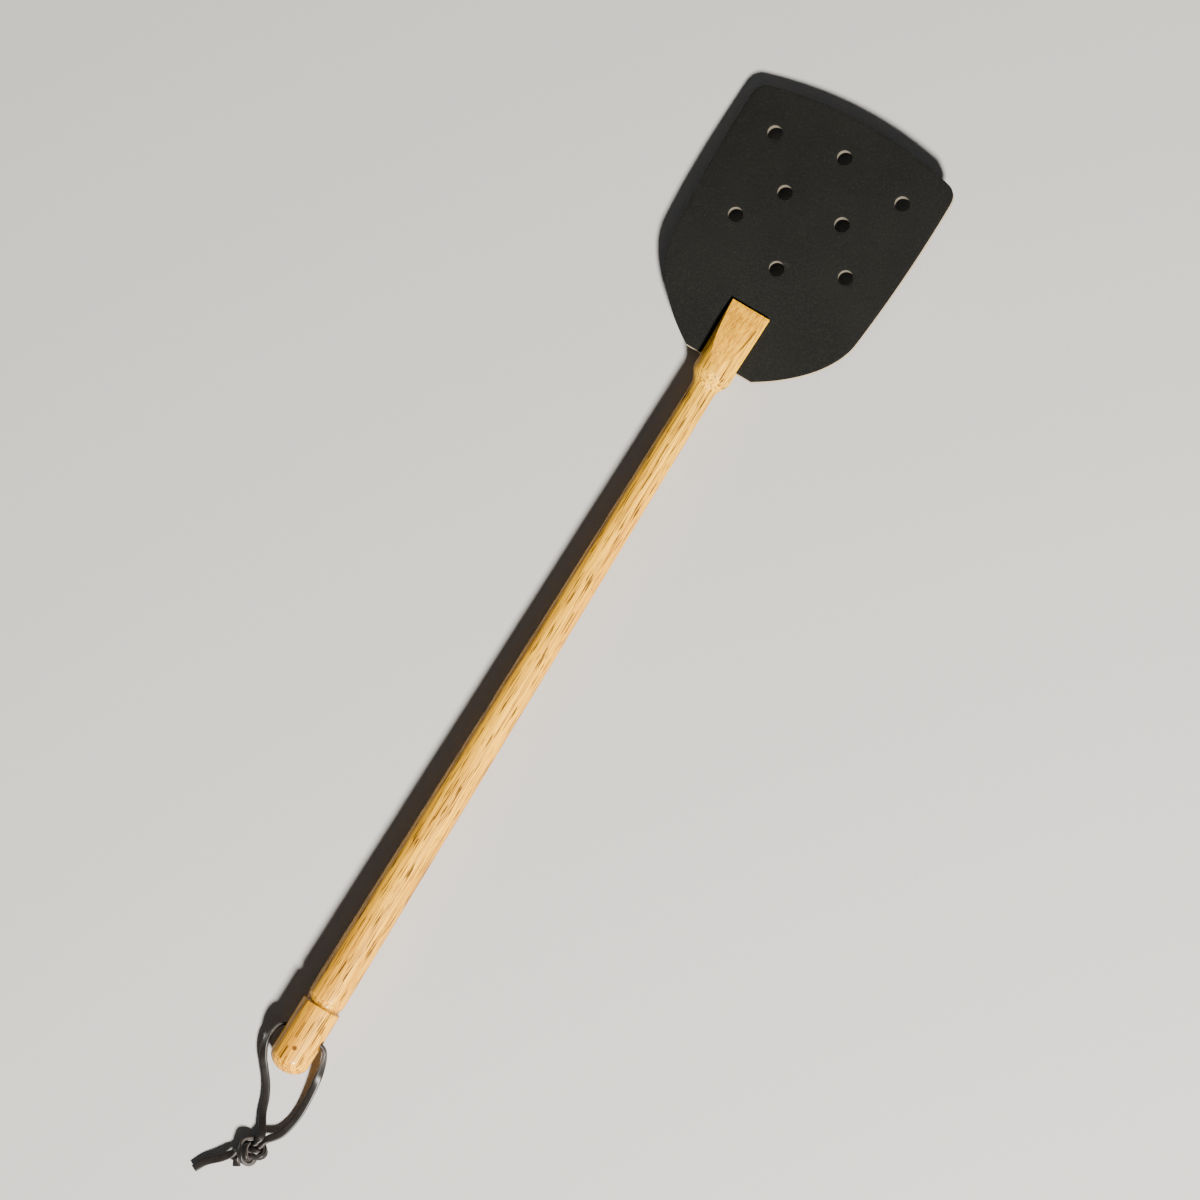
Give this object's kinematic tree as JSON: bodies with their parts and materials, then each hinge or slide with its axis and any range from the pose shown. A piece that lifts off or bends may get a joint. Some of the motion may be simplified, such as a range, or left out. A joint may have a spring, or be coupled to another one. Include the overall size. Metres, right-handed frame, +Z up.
{
  "type": "fly swatter",
  "caption": "Leather fly swatter: a turned oak handle with a punched leather flap held in a slot in its head and a knotted leather hanging lace through its butt.",
  "frame": {"origin": "on the surface that the swatter lies on, below the middle of its length from butt end to flap edge, with the lace left out", "axes": "+Y along the handle from the butt to the flap, +Z up from the surface, +X to the right seen from above with the flap away from the viewer"},
  "size_m": [0.1092, 0.5778, 0.0192],
  "materials": {
    "oak": "honey-coloured oak with dark open pores under a satin lacquer",
    "flap_leather": "black fine-grained leather with a low sheen and pale raw cut edges",
    "lace_leather": "dark brown, nearly black, flat leather lace with a waxed sheen",
    "steel": "plain bright wire"
  },
  "bodies": {
    "handle": {"handle": "oak", "brad_left": "steel", "brad_right": "steel", "flap_root": "flap_leather"},
    "flap": {"flap_blade": "flap_leather"},
    "lace": {"lace_loop": "lace_leather", "lace_knot": "lace_leather", "lace_tail_long": "lace_leather", "lace_tail_short": "lace_leather"}
  },
  "joints": [
    {"name": "flap_flex", "type": "hinge", "parent": "handle", "child": "flap", "pos_m": [0, 0.15775, 0.0096], "axis": [1, 0, 0], "range_deg": [-2, 45], "stiffness_Nm_per_rad": 1, "springref_deg": 1.15},
    {"name": "lace_swing", "type": "hinge", "parent": "handle", "child": "lace", "pos_m": [0, -0.23875, 0.0096], "axis": [-1, 0, 0], "range_deg": [0, 150]}
  ]
}
